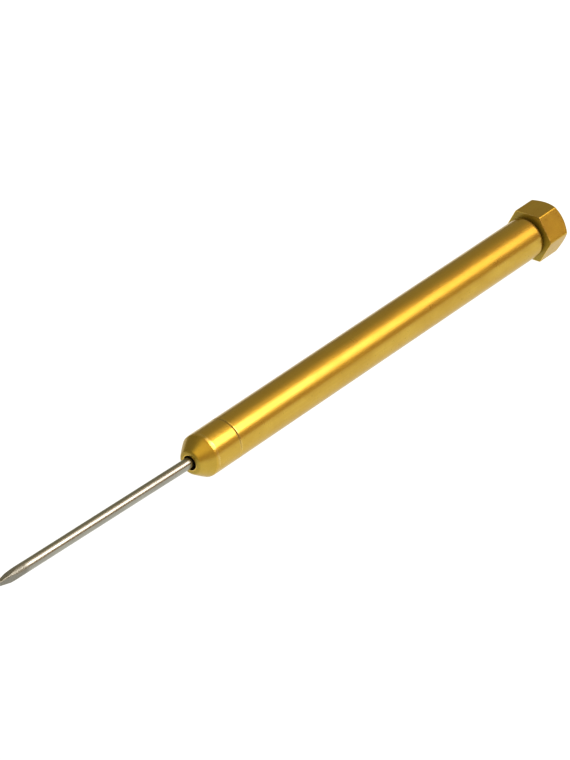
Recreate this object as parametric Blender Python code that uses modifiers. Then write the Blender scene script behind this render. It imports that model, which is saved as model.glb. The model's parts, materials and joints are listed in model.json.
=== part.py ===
"""Automatic pricking iron: a steel spike in a brass barrel, fired by a spring when it is pressed.

The tool lies along X with its point towards -X and its hexagonal cap towards +X. It rests on one
flat of the cap, and the origin is under the middle of its length. Stations are distances along the
barrel's axis from the rim where the nose turns from cone to cylinder, positive towards the cap.

Pressing the spike moves the plunger, the stem and the hammer back against the main spring. The
plunger starts at a lean, with its stem beside the hammer's hole. The tapered sleeve brings it
straight as it moves back, until the stem lines up with the hole and the hammer is let go.
"""

import math

import bmesh
import bpy
from mathutils import Matrix, Vector

# Driving dimensions, in metres and radians.
BARREL_RADIUS = 0.006
BARREL_BORE_RADIUS = 0.0045
BARREL_START = 0.0096
BARREL_END = 0.141
HEX_ACROSS_FLATS = 0.014
HEX_START = 0.14185
HEX_LENGTH = 0.009
SPIKE_RADIUS = 0.0015
SPIKE_REACH = 0.082
SPIKE_FACET_SLOPE = math.tan(math.radians(8.2))
SPIKE_EDGE_ROUND = 1.5
SPIKE_EDGE_BEARING = math.radians(-42)
PIVOT_STATION = 0.004
LEAN_ANGLE = math.radians(1.12)
LEAN_BEARING = math.radians(41.8)
STROKE = 0.008

# Gaps between neighbours that slide, turn or sit against each other.
FIT_GAP = 0.0001
FACE_GAP = 0.0003
RUNNING_GAP = 0.00015

# Nose: a rounded lip, a cone, a short cylinder and a spigot that screws into the barrel.
LIP_STATION = -0.0041
LIP_FLAT_RADIUS = 0.00248
LIP_ROUND = 0.0013
CONE_START_ANGLE = math.radians(36.5)
RIM_RADIUS = 0.0059
RIM_CURVE_END = 0.00125
GUIDE_RADIUS = 0.002
NOSE_SHOULDER = 0.00952
SPIGOT_RADIUS = BARREL_BORE_RADIUS - FIT_GAP
SPIGOT_END = 0.016
SPIGOT_BORE_FLARE = 0.0026
EDGE_BREAK = 0.0002
INNER_EDGE = 0.0003

# Plunger: a collar, a land that the sleeve centres, and the stem behind it.
COLLAR_RADIUS = 0.004
COLLAR_START = SPIGOT_END + FACE_GAP
COLLAR_END = 0.0213
LAND_RADIUS = 0.0022
SLEEVE_START = 0.0425
SLEEVE_END = 0.0485
SLEEVE_TAPER = 0.0006
LAND_END = SLEEVE_END - STROKE + 0.0005
SPIKE_END = 0.0305
STEM_RADIUS = 0.00125
STEM_START = 0.0342
STEM_END = SLEEVE_END - FIT_GAP
PIN_RADIUS = 0.0005
PIN_STATION = 0.0188

# Springs: wire radius, mean coil radius, working turns.
RETURN_WIRE = 0.0003
RETURN_COIL = 0.00355
RETURN_TURNS = 8
MAIN_WIRE = 0.00055
MAIN_COIL = 0.0036
MAIN_TURNS = 13
POINTS_PER_TURN = 12

# The washer between the collar and the return spring.
WASHER_START = COLLAR_END + FACE_GAP
WASHER_END = WASHER_START + 0.0008
WASHER_BORE_RADIUS = 0.0029

# Hammer, spring seat, thrust ball and adjusting screw.
HAMMER_START = SLEEVE_END + FACE_GAP
HAMMER_LENGTH = 0.026
HAMMER_END = HAMMER_START + HAMMER_LENGTH
HAMMER_HOLE_RADIUS = 0.0014
HAMMER_HOLE_DEPTH = 0.015
SPIGOT_FOR_SPRING_RADIUS = 0.0026
SPIGOT_FOR_SPRING_LENGTH = 0.006
SEAT_FLANGE_START = 0.1201
SEAT_FLANGE_END = 0.1231
BALL_RADIUS = 0.0015
BALL_STATION = 0.1235
SCREW_RADIUS = 0.003
SCREW_START = 0.1239
SCREW_SOCKET_DEPTH = 0.0061
END_BUSH_START = 0.130
END_BUSH_END = BARREL_END - 0.0002
RING_STATION = 0.1394
RING_WIRE = 0.0004
RING_POCKET_RADIUS = SCREW_RADIUS + 0.00105
CAP_CHAMFER_RADIUS = 0.0064
CAP_CHAMFER_SLOPE = math.tan(math.radians(40))
GRUB_RADIUS = 0.00125
GRUB_STATION = HEX_START + 0.0032
GRUB_BEARING = math.radians(120)
GRUB_INNER = SCREW_RADIUS + RUNNING_GAP
GRUB_OUTER = HEX_ACROSS_FLATS / 2 - 0.0004
GRUB_SOCKET_ACROSS_FLATS = 0.0015
GRUB_SOCKET_DEPTH = 0.0012

# The middle of the tool's length, as a station: halfway from the spike's tip to the cap's end face.
CAP_END = HEX_START + HEX_LENGTH
TIP_STATION = PIVOT_STATION - SPIKE_REACH * math.cos(LEAN_ANGLE)
ORIGIN_STATION = (TIP_STATION + CAP_END) / 2
AXIS_HEIGHT = HEX_ACROSS_FLATS / 2

FINE_SEGMENTS = 60
INNER_SEGMENTS = 40
SMALL_SEGMENTS = 24
SHARP_ANGLE = math.radians(35)
MERGE_DISTANCE = 0.000001
CUTTER_OVERRUN = 0.001


def clear_scene():
    for obj in list(bpy.data.objects):
        bpy.data.objects.remove(obj, do_unlink=True)


def make_collection(name):
    collection = bpy.data.collections.new(name)
    bpy.context.scene.collection.children.link(collection)
    return collection


def make_material(name, colour, metallic, roughness):
    material = bpy.data.materials.new(name)
    material.use_nodes = True
    shader = material.node_tree.nodes["Principled BSDF"]
    shader.inputs["Base Color"].default_value = (*colour, 1.0)
    shader.inputs["Metallic"].default_value = metallic
    shader.inputs["Roughness"].default_value = roughness
    return material


def make_axis(name, location, parent=None, rotation=None):
    """An empty whose local Z runs along an axis of the tool, towards the cap."""
    axis = bpy.data.objects.new(name, None)
    axis.rotation_mode = "QUATERNION"
    axis.location = location
    axis.rotation_quaternion = rotation.to_quaternion()
    axis.parent = parent
    PARTS.objects.link(axis)
    return axis


def place(obj, axis, material, collection=None):
    """Hangs an object on an axis empty and gives it its material."""
    obj.parent = axis
    obj.data.materials.clear()
    obj.data.materials.append(material)
    (collection or PARTS).objects.link(obj)
    return obj


def baked(obj):
    """Turns an object with modifiers into a plain mesh, smooth where it is round."""
    bpy.context.view_layer.update()
    graph = bpy.context.evaluated_depsgraph_get()
    mesh = bpy.data.meshes.new_from_object(obj.evaluated_get(graph))
    mesh.shade_smooth()
    mesh.set_sharp_from_angle(angle=SHARP_ANGLE)
    mesh.name = obj.name
    obj.modifiers.clear()
    obj.data = mesh
    return obj


def turned(name, profile, axis, material, segments=INNER_SEGMENTS, closed=True, start=0.0):
    """A piece turned on a lathe. The profile is a list of (station, radius) round the section.

    A closed profile makes a ring. An open one starts and ends on the axis. Stations are counted
    from start, the station of the axis empty.
    """
    points = [Vector((radius, 0.0, station - start)) for station, radius in profile]
    following = points[1:] + points[:1]
    turning = sum(a.x * b.z - b.x * a.z for a, b in zip(points, following))
    if turning > 0:
        points.reverse()
    edges = [(i, i + 1) for i in range(len(points) - 1)]
    if closed:
        edges.append((len(points) - 1, 0))
    mesh = bpy.data.meshes.new(name)
    mesh.from_pydata(points, edges, [])
    obj = place(bpy.data.objects.new(name, mesh), axis, material)
    screw = obj.modifiers.new("Turn", "SCREW")
    screw.axis = "Z"
    screw.angle = 2 * math.pi
    screw.steps = segments
    screw.render_steps = segments
    screw.use_merge_vertices = True
    screw.merge_threshold = MERGE_DISTANCE
    return baked(obj)


def from_bmesh(name, mesh_data, axis, material, collection=None):
    mesh = bpy.data.meshes.new(name)
    mesh_data.to_mesh(mesh)
    mesh_data.free()
    return place(bpy.data.objects.new(name, mesh), axis, material, collection)


def prism(name, segments, radius, low, high, axis, material, collection=None, turn=None):
    """A straight prism or cylinder along the axis empty's Z from low to high, then turned."""
    mesh_data = bmesh.new()
    bmesh.ops.create_cone(
        mesh_data,
        cap_ends=True,
        segments=segments,
        radius1=radius,
        radius2=radius,
        depth=high - low,
        matrix=(turn or Matrix.Identity(4)) @ Matrix.Translation((0.0, 0.0, (low + high) / 2)),
    )
    return from_bmesh(name, mesh_data, axis, material, collection)


def crosswise(station, bearing):
    """Turns Z to point out of the axis at this station. Bearing is from local -X towards local Y."""
    outward = Matrix.Rotation(math.pi - bearing, 4, "Z") @ Matrix.Rotation(math.pi / 2, 4, "Y")
    return Matrix.Translation((0.0, 0.0, station)) @ outward


def as_cutter(obj):
    obj.hide_render = True
    obj.display_type = "WIRE"
    return obj


def move_to_cutters(obj):
    PARTS.objects.unlink(obj)
    CUTTERS.objects.link(obj)
    return as_cutter(obj)


def combine(obj, other, operation):
    boolean = obj.modifiers.new(operation.title(), "BOOLEAN")
    boolean.operation = operation
    boolean.solver = "EXACT"
    boolean.object = other
    return obj


def coil_points(low, high, coil_radius, wire_radius, working_turns):
    """A compression spring's centre line, with one close turn at each end."""
    close_pitch = 2.5 * wire_radius
    first = low + wire_radius
    last = high - wire_radius
    working_pitch = (last - first - 2 * close_pitch) / working_turns
    points = []
    for i in range((working_turns + 2) * POINTS_PER_TURN + 1):
        turns = i / POINTS_PER_TURN
        working = min(max(turns - 1.0, 0.0), float(working_turns))
        station = first + (turns - working) * close_pitch + working * working_pitch
        angle = 2 * math.pi * turns
        points.append((coil_radius * math.cos(angle), coil_radius * math.sin(angle), station))
    return points


def spring(name, low, high, coil_radius, wire_radius, working_turns, axis, material):
    curve = bpy.data.curves.new(name, "CURVE")
    curve.dimensions = "3D"
    curve.bevel_depth = wire_radius
    curve.bevel_resolution = 2
    curve.use_fill_caps = True
    points = coil_points(low, high, coil_radius, wire_radius, working_turns)
    spline = curve.splines.new("POLY")
    spline.points.add(len(points) - 1)
    for control, point in zip(spline.points, points):
        control.co = (*point, 1.0)
    return place(bpy.data.objects.new(name, curve), axis, material)


def make_nose_cone(axis, material):
    """The lip rounds into a barely bowed cone, and behind the rim a slight curve meets the cylinder."""
    hole_edge = 0.0001
    relief_end = NOSE_SHOULDER + 0.001
    profile = [(LIP_STATION + hole_edge, GUIDE_RADIUS), (LIP_STATION, GUIDE_RADIUS + hole_edge)]
    lip_steps = 4
    for i in range(lip_steps + 1):
        turn = (math.pi / 2 - CONE_START_ANGLE) * i / lip_steps
        station = LIP_STATION + LIP_ROUND * (1 - math.cos(turn))
        profile.append((station, LIP_FLAT_RADIUS + LIP_ROUND * math.sin(turn)))
    cone_start, cone_radius = profile[-1]
    start_slope = math.tan(CONE_START_ANGLE)
    bow = (start_slope * -cone_start - (RIM_RADIUS - cone_radius)) / cone_start**2
    cone_steps = 3
    for i in range(1, cone_steps + 1):
        along = -cone_start * i / cone_steps
        profile.append((cone_start + along, cone_radius + start_slope * along - bow * along**2))
    curve_steps = 3
    for i in range(1, curve_steps + 1):
        share = i / curve_steps
        radius = BARREL_RADIUS - (BARREL_RADIUS - RIM_RADIUS) * (1 - share) ** 2
        profile.append((RIM_CURVE_END * share, radius))
    profile += [
        (NOSE_SHOULDER - EDGE_BREAK, BARREL_RADIUS),
        (NOSE_SHOULDER, BARREL_RADIUS - EDGE_BREAK),
        (NOSE_SHOULDER, SPIGOT_RADIUS - EDGE_BREAK),
        (relief_end - EDGE_BREAK, SPIGOT_RADIUS - EDGE_BREAK),
        (relief_end, SPIGOT_RADIUS),
        (SPIGOT_END - EDGE_BREAK, SPIGOT_RADIUS),
        (SPIGOT_END, SPIGOT_RADIUS - EDGE_BREAK),
        (SPIGOT_END, SPIGOT_BORE_FLARE),
        (SPIGOT_END - 0.0008, GUIDE_RADIUS),
    ]
    return turned("nose_cone", profile, axis, material, FINE_SEGMENTS)


def make_barrel(axis, material):
    """Its rear edge is rolled over and chamfered."""
    profile = [
        (BARREL_START, BARREL_BORE_RADIUS),
        (BARREL_START, BARREL_RADIUS - EDGE_BREAK),
        (BARREL_START + EDGE_BREAK, BARREL_RADIUS),
        (BARREL_END - 4 * EDGE_BREAK, BARREL_RADIUS),
        (BARREL_END - 1.5 * EDGE_BREAK, BARREL_RADIUS - EDGE_BREAK / 2),
        (BARREL_END, BARREL_RADIUS - 2 * EDGE_BREAK),
        (BARREL_END, BARREL_BORE_RADIUS),
    ]
    return turned("barrel", profile, axis, material, FINE_SEGMENTS)


def make_trip_sleeve(axis, material):
    """The taper is as wide as the land's lean at each point of the stroke, plus clearance."""
    outer = BARREL_BORE_RADIUS - FIT_GAP
    narrow = LAND_RADIUS + RUNNING_GAP
    wide = narrow + SLEEVE_TAPER
    profile = [
        (SLEEVE_START, wide),
        (SLEEVE_START, outer),
        (SLEEVE_END, outer),
        (SLEEVE_END, narrow),
    ]
    return turned("trip_sleeve", profile, axis, material)


def make_end_bush(axis, material):
    """Threaded for the adjusting screw, with a rear pocket for the friction ring."""
    outer = BARREL_BORE_RADIUS - FIT_GAP
    pocket_start = RING_STATION - RING_WIRE - FIT_GAP
    profile = [
        (END_BUSH_START, SCREW_RADIUS + FIT_GAP),
        (END_BUSH_START, outer),
        (END_BUSH_END, outer),
        (END_BUSH_END, RING_POCKET_RADIUS),
        (pocket_start, RING_POCKET_RADIUS),
        (pocket_start, SCREW_RADIUS + FIT_GAP),
    ]
    return turned("end_bush", profile, axis, material)


def make_friction_ring(axis, material):
    """A rubber ring round the adjusting screw, which keeps the setting."""
    middle = SCREW_RADIUS + RUNNING_GAP + RING_WIRE
    profile = []
    corners = 8
    for i in range(corners):
        angle = 2 * math.pi * i / corners
        profile.append((RING_STATION + RING_WIRE * math.cos(angle), middle + RING_WIRE * math.sin(angle)))
    return turned("friction_ring", profile, axis, material)


def make_spike(axis, material):
    """A round rod ground to three facets, with a round cone left along their edges.

    The bearing of one edge is from up towards +Y.
    """
    length_behind_pivot = SPIKE_END - PIVOT_STATION
    spike = prism(
        "spike", SMALL_SEGMENTS * 2, SPIKE_RADIUS, -SPIKE_REACH, length_behind_pivot, axis, material
    )
    length = SPIKE_REACH + length_behind_pivot + CUTTER_OVERRUN
    facets = ("spike_facet_cutter", 3, 2 * length * SPIKE_FACET_SLOPE)
    edges = ("spike_edge_cutter", SMALL_SEGMENTS * 2, length * SPIKE_EDGE_ROUND * SPIKE_FACET_SLOPE)
    for name, segments, radius in (facets, edges):
        mesh_data = bmesh.new()
        bmesh.ops.create_cone(
            mesh_data,
            cap_ends=True,
            segments=segments,
            radius1=0.0,
            radius2=radius,
            depth=length,
            matrix=Matrix.Rotation(math.pi / 2 - SPIKE_EDGE_BEARING, 4, "Z")
            @ Matrix.Translation((0.0, 0.0, length / 2 - SPIKE_REACH)),
        )
        cutter = as_cutter(from_bmesh(name, mesh_data, axis, material, CUTTERS))
        combine(spike, cutter, "INTERSECT")
    combine(spike, make_pin_hole(axis, material), "DIFFERENCE")
    return baked(spike)


def make_pin_hole(axis, material):
    """The hole for the cross pin, through the collar and the spike."""
    half = COLLAR_RADIUS + CUTTER_OVERRUN
    across = crosswise(PIN_STATION - PIVOT_STATION, 0.0)
    hole = prism(
        "pin_hole_cutter", SMALL_SEGMENTS, PIN_RADIUS + FIT_GAP, -half, half, axis, material, CUTTERS, across
    )
    return as_cutter(hole)


def make_plunger(axis, material):
    """Collar and land in one piece, bored from the front for the spike and from behind for the stem."""
    profile = [
        (SPIKE_END + FIT_GAP, 0.0),
        (SPIKE_END + FIT_GAP, SPIKE_RADIUS + FIT_GAP / 2),
        (COLLAR_START, SPIKE_RADIUS + FIT_GAP / 2),
        (COLLAR_START, COLLAR_RADIUS - INNER_EDGE),
        (COLLAR_START + INNER_EDGE, COLLAR_RADIUS),
        (COLLAR_END - INNER_EDGE, COLLAR_RADIUS),
        (COLLAR_END, COLLAR_RADIUS - INNER_EDGE),
        (COLLAR_END, LAND_RADIUS),
        (LAND_END, LAND_RADIUS),
        (LAND_END, STEM_RADIUS + FIT_GAP / 2),
        (STEM_START - FIT_GAP, STEM_RADIUS + FIT_GAP / 2),
        (STEM_START - FIT_GAP, 0.0),
    ]
    plunger = turned("plunger", profile, axis, material, closed=False, start=PIVOT_STATION)
    combine(plunger, make_pin_hole(axis, material), "DIFFERENCE")
    return baked(plunger)


def make_plunger_pin(axis, material):
    half = COLLAR_RADIUS - INNER_EDGE
    across = crosswise(PIN_STATION - PIVOT_STATION, 0.0)
    return prism("plunger_pin", SMALL_SEGMENTS, PIN_RADIUS, -half, half, axis, material, turn=across)


def make_trip_stem(axis, material):
    edge = INNER_EDGE / 2
    profile = [
        (STEM_START, 0.0),
        (STEM_START, STEM_RADIUS),
        (STEM_END - edge, STEM_RADIUS),
        (STEM_END, STEM_RADIUS - edge),
        (STEM_END, 0.0),
    ]
    return turned("trip_stem", profile, axis, material, closed=False, start=PIVOT_STATION)


def make_return_washer(axis, material):
    outer = BARREL_BORE_RADIUS - RUNNING_GAP
    profile = [
        (WASHER_START, WASHER_BORE_RADIUS),
        (WASHER_START, outer),
        (WASHER_END, outer),
        (WASHER_END, WASHER_BORE_RADIUS),
    ]
    return turned("return_washer", profile, axis, material)


def make_hammer(axis, material):
    """A steel slug with a hole for the stem in front and a spigot for the main spring behind."""
    outer = BARREL_BORE_RADIUS - RUNNING_GAP
    mouth = INNER_EDGE / 2
    profile = [
        (HAMMER_START + HAMMER_HOLE_DEPTH, 0.0),
        (HAMMER_START + HAMMER_HOLE_DEPTH, HAMMER_HOLE_RADIUS),
        (HAMMER_START + mouth, HAMMER_HOLE_RADIUS),
        (HAMMER_START, HAMMER_HOLE_RADIUS + mouth),
        (HAMMER_START, outer - INNER_EDGE),
        (HAMMER_START + INNER_EDGE, outer),
        (HAMMER_END - INNER_EDGE, outer),
        (HAMMER_END, outer - INNER_EDGE),
        (HAMMER_END, SPIGOT_FOR_SPRING_RADIUS),
        (HAMMER_END + SPIGOT_FOR_SPRING_LENGTH - INNER_EDGE, SPIGOT_FOR_SPRING_RADIUS),
        (HAMMER_END + SPIGOT_FOR_SPRING_LENGTH, SPIGOT_FOR_SPRING_RADIUS - INNER_EDGE),
        (HAMMER_END + SPIGOT_FOR_SPRING_LENGTH, 0.0),
    ]
    return turned("hammer", profile, axis, material, closed=False)


def make_spring_seat(axis, material):
    """Carries the main spring's rear end, with a pocket behind for the thrust ball."""
    outer = BARREL_BORE_RADIUS - 2 * FIT_GAP
    pocket_radius = BALL_RADIUS + FIT_GAP
    pocket_floor = BALL_STATION - BALL_RADIUS - FIT_GAP
    spigot_front = SEAT_FLANGE_START - SPIGOT_FOR_SPRING_LENGTH
    profile = [
        (spigot_front, 0.0),
        (spigot_front, SPIGOT_FOR_SPRING_RADIUS - INNER_EDGE),
        (spigot_front + INNER_EDGE, SPIGOT_FOR_SPRING_RADIUS),
        (SEAT_FLANGE_START, SPIGOT_FOR_SPRING_RADIUS),
        (SEAT_FLANGE_START, outer),
        (SEAT_FLANGE_END, outer),
        (SEAT_FLANGE_END, pocket_radius),
        (pocket_floor, pocket_radius),
        (pocket_floor, 0.0),
    ]
    return turned("spring_seat", profile, axis, material, closed=False)


def make_thrust_ball(axis, material):
    mesh_data = bmesh.new()
    bmesh.ops.create_uvsphere(
        mesh_data,
        u_segments=SMALL_SEGMENTS,
        v_segments=SMALL_SEGMENTS // 2,
        radius=BALL_RADIUS,
        matrix=Matrix.Translation((0.0, 0.0, BALL_STATION)),
    )
    ball = from_bmesh("thrust_ball", mesh_data, axis, material)
    ball.data.shade_smooth()
    return ball


def make_adjusting_screw(axis, material):
    """Screws through the end bush. The ball sits in its front end, the cap on its rear end."""
    pocket_radius = BALL_RADIUS + FIT_GAP
    pocket_floor = BALL_STATION + BALL_RADIUS + FIT_GAP
    rear = HEX_START + SCREW_SOCKET_DEPTH - FIT_GAP
    profile = [
        (pocket_floor, 0.0),
        (pocket_floor, pocket_radius),
        (SCREW_START, pocket_radius),
        (SCREW_START, SCREW_RADIUS - INNER_EDGE),
        (SCREW_START + INNER_EDGE, SCREW_RADIUS),
        (rear - INNER_EDGE, SCREW_RADIUS),
        (rear, SCREW_RADIUS - INNER_EDGE),
        (rear, 0.0),
    ]
    return turned("adjusting_screw", profile, axis, material, closed=False)


def make_hex_cap(axis, material):
    """Hexagonal bar, flat in front, its rear corners turned off, drilled for both screws."""
    corner_radius = HEX_ACROSS_FLATS / math.sqrt(3)
    cap = prism("hex_cap", 6, corner_radius, HEX_START, CAP_END, axis, material)
    clear_radius = corner_radius + CUTTER_OVERRUN
    clear_depth = (clear_radius - CAP_CHAMFER_RADIUS) * CAP_CHAMFER_SLOPE
    turned_outline = [
        (HEX_START - CUTTER_OVERRUN, 0.0),
        (HEX_START - CUTTER_OVERRUN, clear_radius),
        (CAP_END - clear_depth, clear_radius),
        (CAP_END + FIT_GAP, CAP_CHAMFER_RADIUS - FIT_GAP / CAP_CHAMFER_SLOPE),
        (CAP_END + FIT_GAP, 0.0),
    ]
    outline = turned("cap_chamfer_cutter", turned_outline, axis, material, FINE_SEGMENTS * 2, closed=False)
    move_to_cutters(outline)
    bore = prism(
        "cap_bore_cutter",
        INNER_SEGMENTS,
        SCREW_RADIUS + FIT_GAP,
        HEX_START - CUTTER_OVERRUN,
        HEX_START + SCREW_SOCKET_DEPTH,
        axis,
        material,
        CUTTERS,
    )
    grub_hole = prism(
        "grub_hole_cutter",
        SMALL_SEGMENTS,
        GRUB_RADIUS + FIT_GAP,
        SCREW_RADIUS - CUTTER_OVERRUN,
        AXIS_HEIGHT + CUTTER_OVERRUN,
        axis,
        material,
        CUTTERS,
        crosswise(GRUB_STATION, GRUB_BEARING),
    )
    combine(cap, outline, "INTERSECT")
    combine(cap, as_cutter(bore), "DIFFERENCE")
    combine(cap, as_cutter(grub_hole), "DIFFERENCE")
    return baked(cap)


def make_grub_screw(axis, material):
    """Locks the cap to its screw from the flat that faces back and down."""
    across = crosswise(GRUB_STATION, GRUB_BEARING)
    grub = prism(
        "cap_grub_screw", SMALL_SEGMENTS, GRUB_RADIUS, GRUB_INNER, GRUB_OUTER, axis, material, turn=across
    )
    socket = prism(
        "grub_socket_cutter",
        6,
        GRUB_SOCKET_ACROSS_FLATS / math.sqrt(3),
        GRUB_OUTER - GRUB_SOCKET_DEPTH,
        GRUB_OUTER + CUTTER_OVERRUN,
        axis,
        material,
        CUTTERS,
        across,
    )
    combine(grub, as_cutter(socket), "DIFFERENCE")
    return baked(grub)


clear_scene()
PARTS = make_collection("pricking_iron")
CUTTERS = make_collection("cutters")

BRASS = make_material("brass", (0.72, 0.47, 0.13), 1.0, 0.28)
POLISHED_STEEL = make_material("polished_steel", (0.62, 0.62, 0.58), 1.0, 0.22)
HARD_STEEL = make_material("hard_steel", (0.34, 0.34, 0.35), 1.0, 0.35)
SPRING_STEEL = make_material("spring_steel", (0.42, 0.42, 0.44), 1.0, 0.30)
BLACKED_STEEL = make_material("blacked_steel", (0.06, 0.06, 0.065), 1.0, 0.45)
RUBBER = make_material("rubber", (0.02, 0.02, 0.02), 0.0, 0.60)

TOOL_AXIS = make_axis(
    "tool_axis", (-ORIGIN_STATION, 0.0, AXIS_HEIGHT), rotation=Matrix.Rotation(math.pi / 2, 3, "Y")
)
LEAN_HINGE = Vector((math.sin(LEAN_BEARING), math.cos(LEAN_BEARING), 0.0))
SPIKE_AXIS = make_axis(
    "spike_axis", (0.0, 0.0, PIVOT_STATION), TOOL_AXIS, Matrix.Rotation(LEAN_ANGLE, 3, LEAN_HINGE)
)

make_nose_cone(TOOL_AXIS, BRASS)
make_barrel(TOOL_AXIS, BRASS)
make_trip_sleeve(TOOL_AXIS, HARD_STEEL)
make_end_bush(TOOL_AXIS, BRASS)
make_friction_ring(TOOL_AXIS, RUBBER)

make_spike(SPIKE_AXIS, POLISHED_STEEL)
make_plunger(SPIKE_AXIS, HARD_STEEL)
make_plunger_pin(SPIKE_AXIS, SPRING_STEEL)
make_trip_stem(SPIKE_AXIS, HARD_STEEL)

make_return_washer(TOOL_AXIS, SPRING_STEEL)
spring(
    "return_spring",
    WASHER_END + FIT_GAP,
    SLEEVE_START - FIT_GAP,
    RETURN_COIL,
    RETURN_WIRE,
    RETURN_TURNS,
    TOOL_AXIS,
    SPRING_STEEL,
)
make_hammer(TOOL_AXIS, HARD_STEEL)
spring(
    "main_spring",
    HAMMER_END + FIT_GAP,
    SEAT_FLANGE_START - FIT_GAP,
    MAIN_COIL,
    MAIN_WIRE,
    MAIN_TURNS,
    TOOL_AXIS,
    SPRING_STEEL,
)
make_spring_seat(TOOL_AXIS, HARD_STEEL)
make_thrust_ball(TOOL_AXIS, POLISHED_STEEL)
make_adjusting_screw(TOOL_AXIS, BLACKED_STEEL)
make_hex_cap(TOOL_AXIS, BRASS)
make_grub_screw(TOOL_AXIS, BLACKED_STEEL)
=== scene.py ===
"""Looks for the automatic pricking iron: fine pieces with real threads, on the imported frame.

Stations are distances along the barrel's axis, in metres, from the rim where the nose turns from
cone to cylinder, positive towards the cap. Each piece's mesh is drawn in stations, and its object
sits on the axis at the rim, so the materials can read station and distance from the axis.
"""

import json
import math

import bpy
import numpy as np
from mathutils import Euler, Matrix, Vector


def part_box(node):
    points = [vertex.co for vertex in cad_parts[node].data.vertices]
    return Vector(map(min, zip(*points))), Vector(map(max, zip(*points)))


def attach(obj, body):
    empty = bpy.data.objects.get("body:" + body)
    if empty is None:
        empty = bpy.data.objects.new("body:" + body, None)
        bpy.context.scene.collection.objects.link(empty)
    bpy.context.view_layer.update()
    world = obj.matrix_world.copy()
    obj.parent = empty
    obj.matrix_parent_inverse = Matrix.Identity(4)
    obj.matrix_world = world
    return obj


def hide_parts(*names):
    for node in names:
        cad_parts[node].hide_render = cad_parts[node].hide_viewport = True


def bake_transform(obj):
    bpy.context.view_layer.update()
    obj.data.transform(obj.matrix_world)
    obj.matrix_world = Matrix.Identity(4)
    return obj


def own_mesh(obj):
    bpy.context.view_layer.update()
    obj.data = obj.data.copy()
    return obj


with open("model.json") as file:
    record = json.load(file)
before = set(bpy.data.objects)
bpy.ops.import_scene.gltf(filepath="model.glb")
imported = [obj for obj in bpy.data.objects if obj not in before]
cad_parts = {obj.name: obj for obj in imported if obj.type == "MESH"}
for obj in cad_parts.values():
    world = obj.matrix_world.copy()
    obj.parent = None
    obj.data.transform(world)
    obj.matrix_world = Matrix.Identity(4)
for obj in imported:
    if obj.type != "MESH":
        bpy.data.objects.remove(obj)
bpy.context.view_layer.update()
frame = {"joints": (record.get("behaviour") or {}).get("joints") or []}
JOINTS = {joint["name"]: joint for joint in frame["joints"]}

# Where the frame puts the tool: the barrel's box gives its axis, and its front end gives the rim.
BARREL_LOW, BARREL_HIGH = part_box("barrel")
BARREL_START = 0.0096
BARREL_RADIUS = (BARREL_HIGH.z - BARREL_LOW.z) / 2
BORE_RADIUS = 0.0045
AXIS_Z = (BARREL_LOW.z + BARREL_HIGH.z) / 2
RIM = Vector((BARREL_LOW.x - BARREL_START, 0.0, AXIS_Z))
BARREL_END = BARREL_HIGH.x - RIM.x
ON_AXIS = Matrix.Translation(RIM)

# The spike and the pieces fixed to it lean about the centring joint's axis.
LEAN_ANGLE = math.radians(1.12)
PIVOT = Vector(JOINTS["spike_centring"]["pos_m"])
LEANING = (
    Matrix.Translation(PIVOT)
    @ Matrix.Rotation(-LEAN_ANGLE, 4, Vector(JOINTS["spike_centring"]["axis"]))
    @ Matrix.Translation(RIM - PIVOT)
)
STROKE = JOINTS["spike_plunge"]["range_m"][1]

# Clearances and edges.
FIT_GAP = 0.0001
RUNNING_GAP = 0.00015
END_GAP = 0.0003
FINE_EDGE = 0.00008
SOFT_EDGE = 0.00015
ROUND_EDGE = 0.0003
WEAR_WIDTH = 0.00022

# Nose.
LIP_STATION = -0.0041
LIP_FLAT_RADIUS = 0.00248
LIP_ROUND = 0.0013
# Painted shade: the nose's lip is drawn dark in the grime colour.
LIP_PAINTED_SHADE_TONE = -0.5
# Painted shade: the nose cone is drawn a little darker in the grime colour.
CONE_PAINTED_SHADE_TONE = -0.28
CONE_START_ANGLE = math.radians(36.5)
RIM_RADIUS = 0.0059
RIM_CURVE_END = 0.00125
GUIDE_RADIUS = 0.002
NOSE_SHOULDER = 0.00952
SPIGOT_BORE_RADIUS = 0.0026
SPIGOT_RADIUS = BORE_RADIUS - FIT_GAP
SPIGOT_END = 0.016
EDGE_BREAK = 0.0002

# Spike and plunger.
SPIKE_RADIUS = 0.0015
SPIKE_TIP = PIVOT.x - RIM.x - 0.082
SPIKE_END = 0.0305
SPIKE_FACET_SLOPE = math.tan(math.radians(8.2))
SPIKE_EDGE_ROUND = 1.5
SPIKE_BLEND_POWER = 40
# The ground facets are drawn darker: grinding grime, and painted shade.
SPIKE_FACET_GRIME_AND_SHADE_TONE = -0.5
SPIKE_EDGE_BEARING = math.radians(-42)
PIN_STATION = 0.0188
PIN_RADIUS = 0.0005
COLLAR_RADIUS = 0.004
COLLAR_START = SPIGOT_END + END_GAP
COLLAR_END = 0.0213
LAND_RADIUS = 0.0022
SLEEVE_START = 0.0425
SLEEVE_END = 0.0485
LAND_END = SLEEVE_END - STROKE + 0.0005
STEM_RADIUS = 0.00125
STEM_START = 0.0342
STEM_END = SLEEVE_END - FIT_GAP

# Springs: wire radius, mean coil radius and working turns.
RETURN_WIRE = 0.0003
RETURN_COIL = 0.00355
RETURN_TURNS = 8
MAIN_WIRE = 0.00055
MAIN_COIL = 0.0036
MAIN_TURNS = 13
STEPS_PER_TURN = 48
WIRE_SIDES = 20
WASHER_BORE_RADIUS = 0.0029
WASHER_START = COLLAR_END + END_GAP
WASHER_END = WASHER_START + 0.0008
RETURN_LOW = WASHER_END + FIT_GAP
RETURN_HIGH = SLEEVE_START - FIT_GAP

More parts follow.
